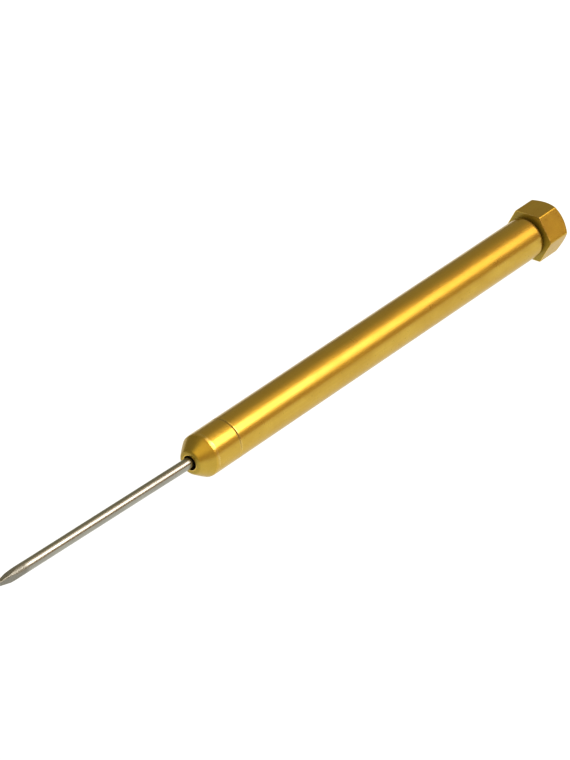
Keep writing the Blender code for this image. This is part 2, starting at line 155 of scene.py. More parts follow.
# Hammer and spring seat.
HAMMER_START = SLEEVE_END + END_GAP
HAMMER_END = HAMMER_START + 0.026
HAMMER_HOLE_RADIUS = 0.0014
HAMMER_HOLE_END = HAMMER_START + 0.015
SPRING_GUIDE_RADIUS = 0.0026
SPRING_GUIDE_LENGTH = 0.006
SEAT_START = 0.1201
SEAT_END = 0.1231
MAIN_LOW = HAMMER_END + FIT_GAP
MAIN_HIGH = SEAT_START - FIT_GAP
BALL_RADIUS = 0.0015
BALL_STATION = 0.1235

# Adjusting screw, end bush and cap.
SCREW_RADIUS = 0.003
SCREW_START = 0.1239
BUSH_START = 0.130
BUSH_END = BARREL_END - 0.0002
RING_STATION = 0.1394
RING_WIRE = 0.0004
RING_POCKET_RADIUS = SCREW_RADIUS + 0.00105
CAP_START = 0.14185
CAP_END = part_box("hex_cap")[1].x - RIM.x
CAP_APOTHEM = AXIS_Z
CAP_CHAMFER_RADIUS = 0.0064
CAP_CHAMFER_SLOPE = math.tan(math.radians(40))
# Painted shade and reflection: the cap's front face is drawn olive, darker and less metallic.
CAP_FACE_PAINTED_REFLECTION_TONE = -0.6
CAP_SIDE_POWER = 60
CAP_REAR_POWER = 26
CAP_REAR_LENGTH = 0.0022
CAP_REAR_ROUND = 0.0052
CAP_SOCKET_END = CAP_START + 0.0061
GRUB_STATION = CAP_START + 0.0032
GRUB_BEARING = math.radians(120)
GRUB_RADIUS = 0.00125
GRUB_SOCKET_APOTHEM = 0.00075

# Threads: first station, last station, pitch, depth. Mating threads keep one phase, so they mesh.
NOSE_THREAD = (0.0107, 0.0158, 0.00075, 0.00028)
SCREW_THREAD = (0.1245, 0.1349, 0.001, 0.0005)
BUSH_THREAD = (BUSH_START, 0.1341, 0.001, 0.0005)

SEGMENTS = 192
INNER_SEGMENTS = 96
SHARP_ANGLE = math.radians(32)
THREAD_ROWS = 10
AT_AXIS = 0.0000001


# Mesh tools.

def finish_mesh(mesh):
    mesh.shade_smooth()
    mesh.set_sharp_from_angle(angle=SHARP_ANGLE)
    mesh.update()


def signed_volume(points, faces):
    corners = [(face[0], a, b) for face in faces for a, b in zip(face[1:], face[2:])]
    first, second, third = (points[list(column)] for column in zip(*corners))
    return float((first * np.cross(second, third)).sum())


def add_piece(name, points, faces, tones, body, material, node=None, place=ON_AXIS):
    """Makes a closed piece from its points, faces and edge tones.

    The tone is 1 on outer edges, which wear, and -1 in inner corners, which are drawn darker. Below
    zero it also paints shade on the nose's lip and cone, the cap's front face and the spike's
    facets, and on the rim curve it paints a highlight.
    """
    points = np.array(points, float)
    if signed_volume(points, faces) < 0:
        faces = [face[::-1] for face in faces]
    mesh = bpy.data.meshes.new(name)
    mesh.from_pydata(points.tolist(), [], faces)
    mesh.attributes.new("wear_grime_and_painted_light", "FLOAT", "POINT").data.foreach_set("value", list(tones))
    mesh.materials.append(material)
    finish_mesh(mesh)
    piece = bpy.data.objects.new(name, mesh)
    piece.matrix_world = place
    bpy.context.scene.collection.objects.link(piece)
    node = node or name.removesuffix("_fine")
    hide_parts(node)
    if body:
        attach(piece, body)
    return piece


def round_corners(corners, closed):
    """Turns corners (station, radius, fillet) into outline points (station, radius, edge tone).

    A corner without a fillet may carry its own edge tone as a fourth number.
    """
    outline = []
    count = len(corners)
    following = corners[1:] + corners[:1]
    winding = sum(a[0] * b[1] - b[0] * a[1] for a, b in zip(corners, following))
    for i, (station, radius, fillet, *own_tone) in enumerate(corners):
        here = np.array((station, radius))
        if fillet == 0 or (not closed and i in (0, count - 1)):
            outline.append((station, radius, own_tone[0] if own_tone else 0.0))
            continue
        before = np.array(corners[i - 1][:2]) - here
        after = np.array(corners[(i + 1) % count][:2]) - here
        room_before = 0.45 * np.linalg.norm(before)
        room_after = 0.45 * np.linalg.norm(after)
        before /= np.linalg.norm(before)
        after /= np.linalg.norm(after)
        half = math.acos(float(before @ after)) / 2
        reach = min(fillet / math.tan(half), room_before, room_after)
        fillet = reach * math.tan(half)
        tone = 1.0 if (before[0] * after[1] - before[1] * after[0]) * winding < 0 else -1.0
        support_before = min(WEAR_WIDTH, room_before - reach)
        support_after = min(WEAR_WIDTH, room_after - reach)
        bisector = (before + after) / np.linalg.norm(before + after)
        centre = here + bisector * fillet / math.sin(half)
        start = here + before * reach - centre
        end = here + after * reach - centre
        sweep = math.pi - 2 * half
        steps = max(2, round(sweep / math.radians(18)))
        if support_before > FINE_EDGE / 2:
            outline.append((*(here + before * (reach + support_before)), 0.0))
        for step in range(steps + 1):
            part = step / steps
            spoke = start * math.sin((1 - part) * sweep) + end * math.sin(part * sweep)
            outline.append((*(centre + spoke / math.sin(sweep)), tone))
        if support_after > FINE_EDGE / 2:
            outline.append((*(here + after * (reach + support_after)), 0.0))
    return outline


def with_thread_rows(outline, thread, closed):
    """Adds points to the level runs of an outline inside a thread's stations."""
    low, high, pitch = thread[:3]
    dense = []
    pairs = zip(outline, outline[1:] + (outline[:1] if closed else outline[-1:]))
    for point, following in pairs:
        dense.append(point)
        point, following = np.array(point), np.array(following)
        run = following[0] - point[0]
        crossing = min(point[0], following[0]) < high and max(point[0], following[0]) > low
        level = abs(following[1] - point[1]) < FIT_GAP / 2
        if abs(run) > pitch / THREAD_ROWS and level and crossing:
            parts = math.ceil(abs(run) * THREAD_ROWS / pitch)
            for k in range(1, parts):
                row = point + (following - point) * k / parts
                if low - pitch < row[0] < high + pitch:
                    dense.append(tuple(row))
    return dense


def thread_depths(stations, angles, thread):
    """How deep a right-hand thread is at each station and angle. It fades out at both ends."""
    low, high, pitch, depth = thread
    phase = (stations[:, None] / pitch - angles[None, :] / (2 * math.pi)) % 1.0
    flank = np.clip(np.abs(phase - 0.5) * 2.7 - 0.17, 0.0, 1.0)
    fade = np.clip(np.minimum(stations - low, high - stations) / (0.6 * pitch), 0.0, 1.0)
    return depth * flank * fade[:, None]


def skin(rows_of_stations, rows_of_radii, tones, angles, closed):
    """Points, faces and edge tones of rings round the axis. Angles turn about +X from +Y."""
    count = len(angles)
    points, tone_list, rows = [], [], []
    for stations, radii, tone in zip(rows_of_stations, rows_of_radii, tones):
        first = len(points)
        if radii.max() < AT_AXIS:
            points.append((stations[0], 0.0, 0.0))
            tone_list.append(tone)
            rows.append([first] * count)
            continue
        points.extend(zip(stations, radii * np.cos(angles), radii * np.sin(angles)))
        tone_list.extend([tone] * count)
        rows.append(list(range(first, first + count)))
    faces = []
    for near, far in zip(rows, rows[1:] + (rows[:1] if closed else [])):
        for i in range(count):
            j = (i + 1) % count
            face = [near[i], near[j], far[j], far[i]]
            faces.append([v for k, v in enumerate(face) if v != face[k - 1]])
    return points, faces, tone_list


def turned_outline(name, outline, body, material, segments, closed, place, thread=None, cuts=None):
    """A turned piece from its fine outline. A thread is cut where cuts(radius) is true."""
    angles = np.arange(segments) * 2 * math.pi / segments
    if thread:
        outline = with_thread_rows(outline, thread, closed)
    stations, radii, tones = (np.array(column) for column in zip(*outline))
    grid = np.repeat(radii[:, None], segments, axis=1)
    if thread:
        grid = np.where(cuts(radii)[:, None], grid - thread_depths(stations, angles, thread), grid)
    rows = np.repeat(stations[:, None], segments, axis=1)
    points, faces, tones = skin(rows, grid, tones, angles, closed)
    return add_piece(name + "_fine", points, faces, tones, body, material, place=place)


def turned(
    name, corners, body, material, segments=INNER_SEGMENTS, closed=True, place=ON_AXIS, **thread
):
    outline = round_corners(corners, closed)
    return turned_outline(name, outline, body, material, segments, closed, place, **thread)


def arc(centre, radius, start_degrees, end_degrees, steps):
    """Outline points on a circle whose centre is (station, radius)."""
    points = []
    for step in range(steps + 1):
        angle = math.radians(start_degrees + (end_degrees - start_degrees) * step / steps)
        station = centre[0] + radius * math.cos(angle)
        points.append((station, centre[1] + radius * math.sin(angle), 0.0))
    return points


def across(station, bearing, place):
    """A place whose local X points out of the axis. Bearing is from up towards +Y."""
    outward = Matrix.Rotation(math.pi / 2 - bearing, 4, "X") @ Matrix.Rotation(math.pi / 2, 4, "Z")
    return place @ Matrix.Translation((station, 0.0, 0.0)) @ outward


def cut_hole(piece, radius, half_length, place):
    """Cuts a round hole through the piece along the place's X."""
    angles = np.arange(48) * 2 * math.pi / 48
    rows = np.array([[x] * 48 for x in (-half_length, -half_length, half_length, half_length)])
    grid = np.array([[r] * 48 for r in (0.0, radius, radius, 0.0)])
    points, faces, _ = skin(rows, grid, [0.0] * 4, angles, False)
    if signed_volume(np.array(points, float), faces) < 0:
        faces = [face[::-1] for face in faces]
    mesh = bpy.data.meshes.new("hole")
    mesh.from_pydata(points, [], faces)
    cutter = bpy.data.objects.new("hole", mesh)
    cutter.matrix_world = place
    bpy.context.scene.collection.objects.link(cutter)
    boolean = piece.modifiers.new("Hole", "BOOLEAN")
    boolean.operation = "DIFFERENCE"
    boolean.solver = "EXACT"
    boolean.object = cutter
    bpy.context.view_layer.update()
    graph = bpy.context.evaluated_depsgraph_get()
    cut_mesh = bpy.data.meshes.new_from_object(piece.evaluated_get(graph))
    piece.modifiers.clear()
    piece.data = cut_mesh
    finish_mesh(cut_mesh)
    bpy.data.objects.remove(cutter, do_unlink=True)
    return piece


# Housing pieces.

def make_barrel(material):
    """Its rear edge is rolled over and chamfered."""
    corners = [
        (BARREL_START, BORE_RADIUS, FINE_EDGE),
        (BARREL_START, BARREL_RADIUS - EDGE_BREAK, FINE_EDGE),
        (BARREL_START + EDGE_BREAK, BARREL_RADIUS, FINE_EDGE),
        (BARREL_END - 4 * EDGE_BREAK, BARREL_RADIUS, 0.002),
        (BARREL_END - 1.5 * EDGE_BREAK, BARREL_RADIUS - EDGE_BREAK / 2, 0.0005),
        (BARREL_END, BARREL_RADIUS - 2 * EDGE_BREAK, SOFT_EDGE),
        (BARREL_END, BORE_RADIUS, FINE_EDGE),
    ]
    inside = lambda radii: radii < BORE_RADIUS + FINE_EDGE / 2
    return turned(
        "barrel", corners, "housing", material, SEGMENTS, thread=NOSE_THREAD, cuts=inside
    )


def make_nose_cone(material):
    """The lip rounds into a barely bowed cone. Behind the rim a slight curve meets the cylinder."""
    edge = FINE_EDGE
    relief_end = NOSE_SHOULDER + 0.001
    corners = [
        (SPIGOT_END, SPIGOT_BORE_RADIUS, edge),
        (SPIGOT_END - 0.0008, GUIDE_RADIUS, SOFT_EDGE),
        (LIP_STATION, GUIDE_RADIUS, SOFT_EDGE),
        # The lip's flat and round carry painted shade, easing into the cone's lighter painted
        # shade.
        (LIP_STATION, LIP_FLAT_RADIUS, 0, LIP_PAINTED_SHADE_TONE),
    ]
    lip_steps = 14
    for i in range(1, lip_steps + 1):
        turn = (math.pi / 2 - CONE_START_ANGLE) * i / lip_steps
        station = LIP_STATION + LIP_ROUND * (1 - math.cos(turn))
        tone = LIP_PAINTED_SHADE_TONE + (CONE_PAINTED_SHADE_TONE - LIP_PAINTED_SHADE_TONE) * (i / lip_steps) ** 3
        corners.append((station, LIP_FLAT_RADIUS + LIP_ROUND * math.sin(turn), 0, tone))
    cone_start, cone_radius = corners[-1][:2]
    start_slope = math.tan(CONE_START_ANGLE)
    bow = (start_slope * -cone_start - (RIM_RADIUS - cone_radius)) / cone_start ** 2
    # Every point of the cone carries its painted shade.
    cone_steps = 16
    for i in range(1, cone_steps):
        along = -cone_start * i / cone_steps
        radius = cone_radius + start_slope * along - bow * along ** 2
        corners.append((cone_start + along, radius, 0, CONE_PAINTED_SHADE_TONE))
    curve_steps = 8
    # The rim curve's tone rises towards the cylinder. This is a painted highlight: a bright
    # crescent in the worn colour.
    for i in range(curve_steps + 1):
        share = i / curve_steps
        radius = BARREL_RADIUS - (BARREL_RADIUS - RIM_RADIUS) * (1 - share) ** 2
        tone = 0.85 * share if i < curve_steps else 0.0
        corners.append((RIM_CURVE_END * share, radius, 0, tone))
    corners += [
        (NOSE_SHOULDER - EDGE_BREAK, BARREL_RADIUS, edge),
        (NOSE_SHOULDER, BARREL_RADIUS - EDGE_BREAK, edge),
        (NOSE_SHOULDER, SPIGOT_RADIUS - EDGE_BREAK, edge),
        (relief_end - EDGE_BREAK, SPIGOT_RADIUS - EDGE_BREAK, edge),
        (relief_end, SPIGOT_RADIUS, edge),
        (SPIGOT_END - EDGE_BREAK, SPIGOT_RADIUS, edge),
        (SPIGOT_END, SPIGOT_RADIUS - EDGE_BREAK, edge),
    ]
    low, high = SPIGOT_RADIUS - FINE_EDGE / 2, SPIGOT_RADIUS + FINE_EDGE
    outside = lambda radii: (radii > low) & (radii < high)
    return turned(
        "nose_cone", corners, "housing", material, SEGMENTS, thread=NOSE_THREAD, cuts=outside
    )


def make_trip_sleeve(material):
    outer = BORE_RADIUS - FIT_GAP
    narrow = LAND_RADIUS + RUNNING_GAP
    corners = [
        (SLEEVE_START, narrow + 0.0006, SOFT_EDGE),
        (SLEEVE_START, outer, SOFT_EDGE),
        (SLEEVE_END, outer, SOFT_EDGE),
        (SLEEVE_END, narrow, SOFT_EDGE),
    ]
    return turned("trip_sleeve", corners, "housing", material)


def make_end_bush(material):
    pocket_start = RING_STATION - RING_WIRE - FIT_GAP
    bore = SCREW_RADIUS + FIT_GAP
    corners = [
        (BUSH_START, bore, FINE_EDGE),
        (BUSH_START, BORE_RADIUS - FIT_GAP, SOFT_EDGE),
        (BUSH_END, BORE_RADIUS - FIT_GAP, SOFT_EDGE),
        (BUSH_END, RING_POCKET_RADIUS, FINE_EDGE),
        (pocket_start, RING_POCKET_RADIUS, FINE_EDGE),
        (pocket_start, bore, FINE_EDGE),
    ]
    inside = lambda radii: radii < bore + FINE_EDGE / 2
    return turned("end_bush", corners, "housing", material, thread=BUSH_THREAD, cuts=inside)


def make_friction_ring(material):
    middle = SCREW_RADIUS + RUNNING_GAP + RING_WIRE
    outline = arc((RING_STATION, middle), RING_WIRE, 0, 345, 23)
    return turned_outline(
        "friction_ring", outline, "housing", material, INNER_SEGMENTS, True, ON_AXIS
    )


# Spike assembly.

def make_spike(material):
    """A round rod ground to three facets, with a round cone left along their edges.

    A high-power mean of the three radii eases the edges between them.
    """
    segments = INNER_SEGMENTS
    first_angle = math.pi / 2 - SPIKE_EDGE_BEARING
    angles = first_angle + np.arange(segments) * 2 * math.pi / segments
    point_length = SPIKE_RADIUS / SPIKE_FACET_SLOPE
    taper = np.linspace(0.00005, point_length * 1.12, 150)
    rod = np.linspace(taper[-1] + 0.002, SPIKE_END - SPIKE_TIP - SOFT_EDGE, 24)
    reach = np.concatenate((taper, rod))
    third = 2 * math.pi / 3
    off_facet = (angles - first_angle) % third - third / 2
    facet = reach[:, None] * SPIKE_FACET_SLOPE / np.cos(off_facet)[None, :]
    cone = reach[:, None] * SPIKE_FACET_SLOPE * SPIKE_EDGE_ROUND
    power = SPIKE_BLEND_POWER
    radii = (facet ** -power + cone ** -power + SPIKE_RADIUS ** -power) ** (-1 / power)
    end = arc((SPIKE_END - SOFT_EDGE, SPIKE_RADIUS - SOFT_EDGE), SOFT_EDGE, 75, 0, 5)
    end_stations = [p[0] for p in end]
    stations = np.concatenate(((SPIKE_TIP,), SPIKE_TIP + reach, end_stations, (SPIKE_END,)))
    centre = np.zeros((1, segments))
    end_radii = np.repeat([[p[1]] for p in end], segments, axis=1)
    radii = np.concatenate((centre, radii, end_radii, centre))
    # The tip's rows carry the facets' grime and painted shade.
    tones = [SPIKE_FACET_GRIME_AND_SHADE_TONE] * (1 + len(taper)) + [0.0] * len(rod)
    tones += [1.0] * len(end) + [0.0]
    rows = np.repeat(stations[:, None], segments, axis=1)
    points, faces, tones = skin(rows, radii, tones, angles, False)
    spike = add_piece(
        "spike_fine", points, faces, tones, "spike_assembly", material, place=LEANING
    )
    pin_place = across(PIN_STATION, 0.0, LEANING)
    return cut_hole(spike, PIN_RADIUS + FIT_GAP, 2 * SPIKE_RADIUS, pin_place)


def make_plunger(material):
    socket = SPIKE_RADIUS + FIT_GAP / 2
    stem_hole = STEM_RADIUS + FIT_GAP / 2
    corners = [
        (SPIKE_END + FIT_GAP, 0.0, 0),
        (SPIKE_END + FIT_GAP, socket, FINE_EDGE),
        (COLLAR_START, socket, FINE_EDGE),
        (COLLAR_START, COLLAR_RADIUS, ROUND_EDGE),
        (COLLAR_END, COLLAR_RADIUS, ROUND_EDGE),
        (COLLAR_END, LAND_RADIUS, SOFT_EDGE),
        (LAND_END, LAND_RADIUS, SOFT_EDGE),
        (LAND_END, stem_hole, FINE_EDGE),
        (STEM_START - FIT_GAP, stem_hole, FINE_EDGE),
        (STEM_START - FIT_GAP, 0.0, 0),
    ]
    plunger = turned("plunger", corners, "spike_assembly", material, closed=False, place=LEANING)
    pin_place = across(PIN_STATION, 0.0, LEANING)
    return cut_hole(plunger, PIN_RADIUS + FIT_GAP, 2 * COLLAR_RADIUS, pin_place)


def make_plunger_pin(material):
    half = COLLAR_RADIUS - 0.0003
    corners = [
        (-half, 0.0, 0),
        (-half, PIN_RADIUS, SOFT_EDGE),
        (half, PIN_RADIUS, SOFT_EDGE),
        (half, 0.0, 0),
    ]
    place = across(PIN_STATION, 0.0, LEANING)
    return turned("plunger_pin", corners, "spike_assembly", material, 48, False, place)


def make_trip_stem(material):
    corners = [
        (STEM_START, 0.0, 0),
        (STEM_START, STEM_RADIUS, FINE_EDGE),
        (STEM_END, STEM_RADIUS, SOFT_EDGE),
        (STEM_END, 0.0, 0),
    ]
    return turned("trip_stem", corners, "spike_assembly", material, closed=False, place=LEANING)


# Springs.

def coil_line(low, high, wire_radius, working_turns):
    """A compression spring's centre line: (turns, station) with one close turn at each end."""
    close_pitch = 2.3 * wire_radius
    first = low + wire_radius / 2
    working_pitch = (high - low - wire_radius - 2 * close_pitch) / working_turns
    line = []
    for i in range((working_turns + 2) * STEPS_PER_TURN + 1):
        turns = i / STEPS_PER_TURN
        working = min(max(turns - 1.0, 0.0), float(working_turns))
        line.append((turns, first + (turns - working) * close_pitch + working * working_pitch))
    return line


def spring_piece(name, node, line, low, high, coil_radius, wire_radius, material):
    """A round wire along the line. Its end faces are ground flat where they sit."""
    sides = WIRE_SIDES
    around = np.arange(sides) * 2 * math.pi / sides
    points, faces = [], []
    for turns, station in line:
        angle = 2 * math.pi * turns
        outward = coil_radius + wire_radius * np.cos(around)
        stations = np.clip(station + wire_radius * np.sin(around), low, high)
        points.extend(zip(stations, outward * math.cos(angle), outward * math.sin(angle)))
    for row in range(len(line) - 1):
        for i in range(sides):
            j = (i + 1) % sides
            near = row * sides
            faces.append([near + i, near + j, near + sides + j, near + sides + i])
    faces.append(list(range(sides))[::-1])
    faces.append(list(range(len(points) - sides, len(points))))
    return add_piece(name, points, faces, [0.0] * len(points), None, material, node)


def make_return_spring(material):
    line = coil_line(RETURN_LOW, RETURN_HIGH, RETURN_WIRE, RETURN_TURNS)
    shape = (RETURN_LOW, RETURN_HIGH, RETURN_COIL, RETURN_WIRE)
    spring = spring_piece("return_spring_fine", "return_spring", line, *shape, material)
    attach(spring, "housing")
    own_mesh(spring)


def make_main_spring(material):
    """One coil in two lengths that meet at the middle."""
    line = coil_line(MAIN_LOW, MAIN_HIGH, MAIN_WIRE, MAIN_TURNS)
    middle = len(line) // 2
    shape = (MAIN_LOW, MAIN_HIGH, MAIN_COIL, MAIN_WIRE)
    front = spring_piece("main_spring_front", "main_spring", line[: middle + 1], *shape, material)
    rear = spring_piece("main_spring_rear", "main_spring", line[middle:], *shape, material)
    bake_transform(front)
    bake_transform(rear)


def make_return_washer(material):
    outer = BORE_RADIUS - RUNNING_GAP
    corners = [
        (WASHER_START, WASHER_BORE_RADIUS, FINE_EDGE),
        (WASHER_START, outer, FINE_EDGE),
        (WASHER_END, outer, FINE_EDGE),
        (WASHER_END, WASHER_BORE_RADIUS, FINE_EDGE),
    ]
    return turned("return_washer", corners, "return_carriage", material)


# Hammer, seat, ball and adjusting screw.

def make_hammer(material):
    outer = BORE_RADIUS - RUNNING_GAP
    guide_end = HAMMER_END + SPRING_GUIDE_LENGTH
    corners = [
        (HAMMER_HOLE_END, 0.0, 0),
        (HAMMER_HOLE_END, HAMMER_HOLE_RADIUS, FINE_EDGE),
        (HAMMER_START, HAMMER_HOLE_RADIUS, SOFT_EDGE),
        (HAMMER_START, outer, ROUND_EDGE),
        (HAMMER_END, outer, ROUND_EDGE),
        (HAMMER_END, SPRING_GUIDE_RADIUS, FINE_EDGE),
        (guide_end, SPRING_GUIDE_RADIUS, ROUND_EDGE),
        (guide_end, 0.0, 0),
    ]
    return turned("hammer", corners, "striker", material, closed=False)


def make_spring_seat(material):
    pocket_floor = BALL_STATION - BALL_RADIUS - FIT_GAP
    outer = BORE_RADIUS - 2 * FIT_GAP
    front = SEAT_START - SPRING_GUIDE_LENGTH
    corners = [
        (front, 0.0, 0),
        (front, SPRING_GUIDE_RADIUS, ROUND_EDGE),
        (SEAT_START, SPRING_GUIDE_RADIUS, FINE_EDGE),
        (SEAT_START, outer, SOFT_EDGE),
        (SEAT_END, outer, SOFT_EDGE),
        (SEAT_END, BALL_RADIUS + FIT_GAP, FINE_EDGE),
        (pocket_floor, BALL_RADIUS + FIT_GAP, SOFT_EDGE),
        (pocket_floor, 0.0, 0),
    ]
    return turned("spring_seat", corners, "seat", material, closed=False)


def make_thrust_ball(material):
    outline = arc((BALL_STATION, 0.0), BALL_RADIUS, 180, 0, 32)
    return turned_outline("thrust_ball", outline, "seat", material, 64, False, ON_AXIS)


def make_adjusting_screw(material):
    """Threaded in front, with a plain neck for the friction ring and a plain end in the cap."""
    pocket_floor = BALL_STATION + BALL_RADIUS + FIT_GAP
    rear = CAP_SOCKET_END - FIT_GAP
    corners = [
        (pocket_floor, 0.0, 0),
        (pocket_floor, BALL_RADIUS + FIT_GAP, SOFT_EDGE),
        (SCREW_START, BALL_RADIUS + FIT_GAP, FINE_EDGE),
        (SCREW_START, SCREW_RADIUS, ROUND_EDGE),
        (rear, SCREW_RADIUS, ROUND_EDGE),
        (rear, 0.0, 0),
    ]
    outside = lambda radii: radii > SCREW_RADIUS - FINE_EDGE / 2
    cut = {"thread": SCREW_THREAD, "cuts": outside}
    return turned("adjusting_screw", corners, "cap", material, closed=False, **cut)


# Cap.

def hexagon_radii(angles, apothem, power):
    """Distance from the axis to a hexagon with flats up and down. The power eases its corners."""
    total = np.zeros(len(angles))
    for side in range(6):
        closeness = np.cos(angles - math.pi / 2 - side * math.pi / 3)
        total += np.clip(closeness / apothem, 0.0, None) ** power
    return total ** (-1 / power)


def make_hex_cap(material):
    """A hexagon, flat in front. A cone turns off its rear corners, and all edges are eased."""
    spread = np.arange(-30, 30) / 30
    near_corner = math.radians(30) * (0.25 * spread + 0.75 * spread ** 3)
    angles = np.concatenate([near_corner + corner * math.pi / 3 for corner in range(6)])
    segments = len(angles)
    flats = hexagon_radii(angles, CAP_APOTHEM, CAP_SIDE_POWER)
    bore = SCREW_RADIUS + FIT_GAP
    stations, radii, tones = [], [], []

    def add_row(station, radius, tone=0.0):
        stations.append(np.broadcast_to(np.asarray(station, float), (segments,)).copy())
        radii.append(np.broadcast_to(np.asarray(radius, float), (segments,)).copy())
        tones.append(tone)

    add_row(CAP_SOCKET_END, 0.0)
    add_row(CAP_SOCKET_END, bore - FINE_EDGE)
    add_row(CAP_SOCKET_END - FINE_EDGE, bore, -1.0)
    add_row(CAP_START + SOFT_EDGE, bore)
    add_row(CAP_START, bore + SOFT_EDGE, 1.0)
    # The front face carries painted shade and reflection.
    for share in (0.25, 0.5, 0.75):
        add_row(CAP_START, bore + SOFT_EDGE + share * (flats - bore - SOFT_EDGE), CAP_FACE_PAINTED_REFLECTION_TONE)
    add_row(CAP_START, flats - WEAR_WIDTH, CAP_FACE_PAINTED_REFLECTION_TONE)
    for degrees in range(90, -1, -15):
        ease = math.radians(degrees)
        station = CAP_START + FINE_EDGE * (1 - math.sin(ease))
        add_row(station, flats - FINE_EDGE * (1 - math.cos(ease)), 1.0)
    add_row(CAP_START + WEAR_WIDTH, flats)
    fan_station = CAP_END - CAP_REAR_LENGTH
    add_row(fan_station, flats)
    cone_radius = CAP_CHAMFER_RADIUS - CAP_REAR_ROUND + (CAP_END - fan_station) / CAP_CHAMFER_SLOPE
    for degrees in np.linspace(88, 1, 60):
        lift = math.sin(math.radians(degrees))
        run = math.cos(math.radians(degrees))
        closeness = np.array(
            [
                lift / (flats - CAP_REAR_ROUND),
                np.full(segments, run / (CAP_END - fan_station)),
                np.full(segments, (lift + run / CAP_CHAMFER_SLOPE) / cone_radius),
            ]
        )
        reach = (closeness ** CAP_REAR_POWER).sum(axis=0) ** (-1 / CAP_REAR_POWER)
        add_row(fan_station + reach * run, CAP_REAR_ROUND + reach * lift)
    for share in (0.66, 0.33, 0.0):
        add_row(CAP_END, CAP_REAR_ROUND * share)
    points, faces, tones = skin(stations, radii, tones, angles, False)
    cap = add_piece("hex_cap_fine", points, faces, tones, "cap", material)
    at_flat = Matrix.Translation((CAP_APOTHEM, 0.0, 0.0))
    hole = across(GRUB_STATION, GRUB_BEARING, ON_AXIS) @ at_flat
    return cut_hole(cap, GRUB_RADIUS + FIT_GAP, CAP_APOTHEM - SCREW_RADIUS + 0.001, hole)


def make_grub_screw(material):
    """A threaded cup-point screw with a hexagon socket."""
    inner = SCREW_RADIUS + RUNNING_GAP
    outer = CAP_APOTHEM - 0.0004
    socket_floor = outer - 0.0012
    segments = INNER_SEGMENTS
    angles = np.arange(segments) * 2 * math.pi / segments
    socket = hexagon_radii(angles, GRUB_SOCKET_APOTHEM, CAP_SIDE_POWER)
    low, high = inner + 0.0004, outer - 0.0002
    thread = (low, high, 0.00045, 0.00018)
    body_rows = np.linspace(low, high, 60)
    depths = thread_depths(body_rows, angles, thread)
    rows = [(socket_floor - 0.0003, 0.0), (socket_floor, socket), (outer - 0.0001, socket)]
    rows += [(outer, socket + 0.0001), (outer, GRUB_RADIUS - 0.0002)]
    rows += zip(body_rows[::-1], GRUB_RADIUS - depths[::-1])
    cup_edge = [(inner, GRUB_RADIUS - 0.0004), (inner, GRUB_RADIUS - 0.0007)]
    rows += [*cup_edge, (inner + 0.0002, 0.0)]
    stations = [np.full(segments, station) for station, _ in rows]
    radii = [np.broadcast_to(np.asarray(radius, float), (segments,)) for _, radius in rows]
    points, faces, tones = skin(stations, radii, [0.0] * len(rows), angles, False)
    place = across(GRUB_STATION, GRUB_BEARING, ON_AXIS)
    return add_piece("cap_grub_screw_fine", points, faces, tones, "cap", material, place=place)


# Material tools. The Mix node's colour sockets are numbered.

COLOUR_MIX_INPUTS = (0, 6, 7)
COLOUR_MIX_OUTPUT = 2


def add_node(tree, kind, inputs=None, **settings):
    """Adds a shader node. Inputs are values or the sockets that feed them."""
    made = tree.nodes.new("ShaderNode" + kind)
    for key, value in settings.items():
        setattr(made, key, value)
    for key, value in (inputs or {}).items():
        if isinstance(value, bpy.types.NodeSocket):
            tree.links.new(value, made.inputs[key])
        else:
            made.inputs[key].default_value = value
    return made


def noise(tree, coordinates, scale, detail=3.0, roughness=0.55, offset=(0.0, 0.0, 0.0)):
    mapping = {"Vector": coordinates, "Scale": scale, "Location": offset}
    place = add_node(tree, "Mapping", mapping).outputs["Vector"]
    inputs = {"Vector": place, "Scale": 1.0, "Detail": detail, "Roughness": roughness}
    return add_node(tree, "TexNoise", inputs).outputs["Fac"]


def remap(tree, value, low, high, to_low=0.0, to_high=1.0):
    inputs = {"Value": value, "From Min": low, "From Max": high}
    inputs |= {"To Min": to_low, "To Max": to_high}
    return add_node(tree, "MapRange", inputs).outputs["Result"]


def combine(tree, operation, first, second=0.5):
    made = add_node(tree, "Math", {0: first, 1: second}, operation=operation)
    return made.outputs["Value"]


def mix_colour(tree, share, first, second):
    made = add_node(tree, "Mix", data_type="RGBA")
    share_socket, first_socket, second_socket = (made.inputs[i] for i in COLOUR_MIX_INPUTS)
    for socket, value in ((share_socket, share), (first_socket, first), (second_socket, second)):
        if isinstance(value, bpy.types.NodeSocket):
            tree.links.new(value, socket)
        else:
            socket.default_value = (*value, 1.0) if isinstance(value, tuple) else value
    return made.outputs[COLOUR_MIX_OUTPUT]


def bump(tree, height, depth, strength, below=None):
    inputs = {"Height": height, "Distance": depth, "Strength": strength}
    if below:
        inputs["Normal"] = below
    return add_node(tree, "Bump", inputs).outputs["Normal"]


def lathe_coordinates(tree):
    """The object's own place, and (station, distance from the axis, 0), which draws lathe rings."""
    place = add_node(tree, "TexCoord").outputs["Object"]
    parts = add_node(tree, "SeparateXYZ", {"Vector": place})
    flat = add_node(tree, "CombineXYZ", {"Y": parts.outputs["Y"], "Z": parts.outputs["Z"]})
    length = add_node(tree, "VectorMath", {0: flat.outputs["Vector"]}, operation="LENGTH")
    rings = add_node(tree, "CombineXYZ", {"X": parts.outputs["X"], "Y": length.outputs["Value"]})
    return place, rings.outputs["Vector"]


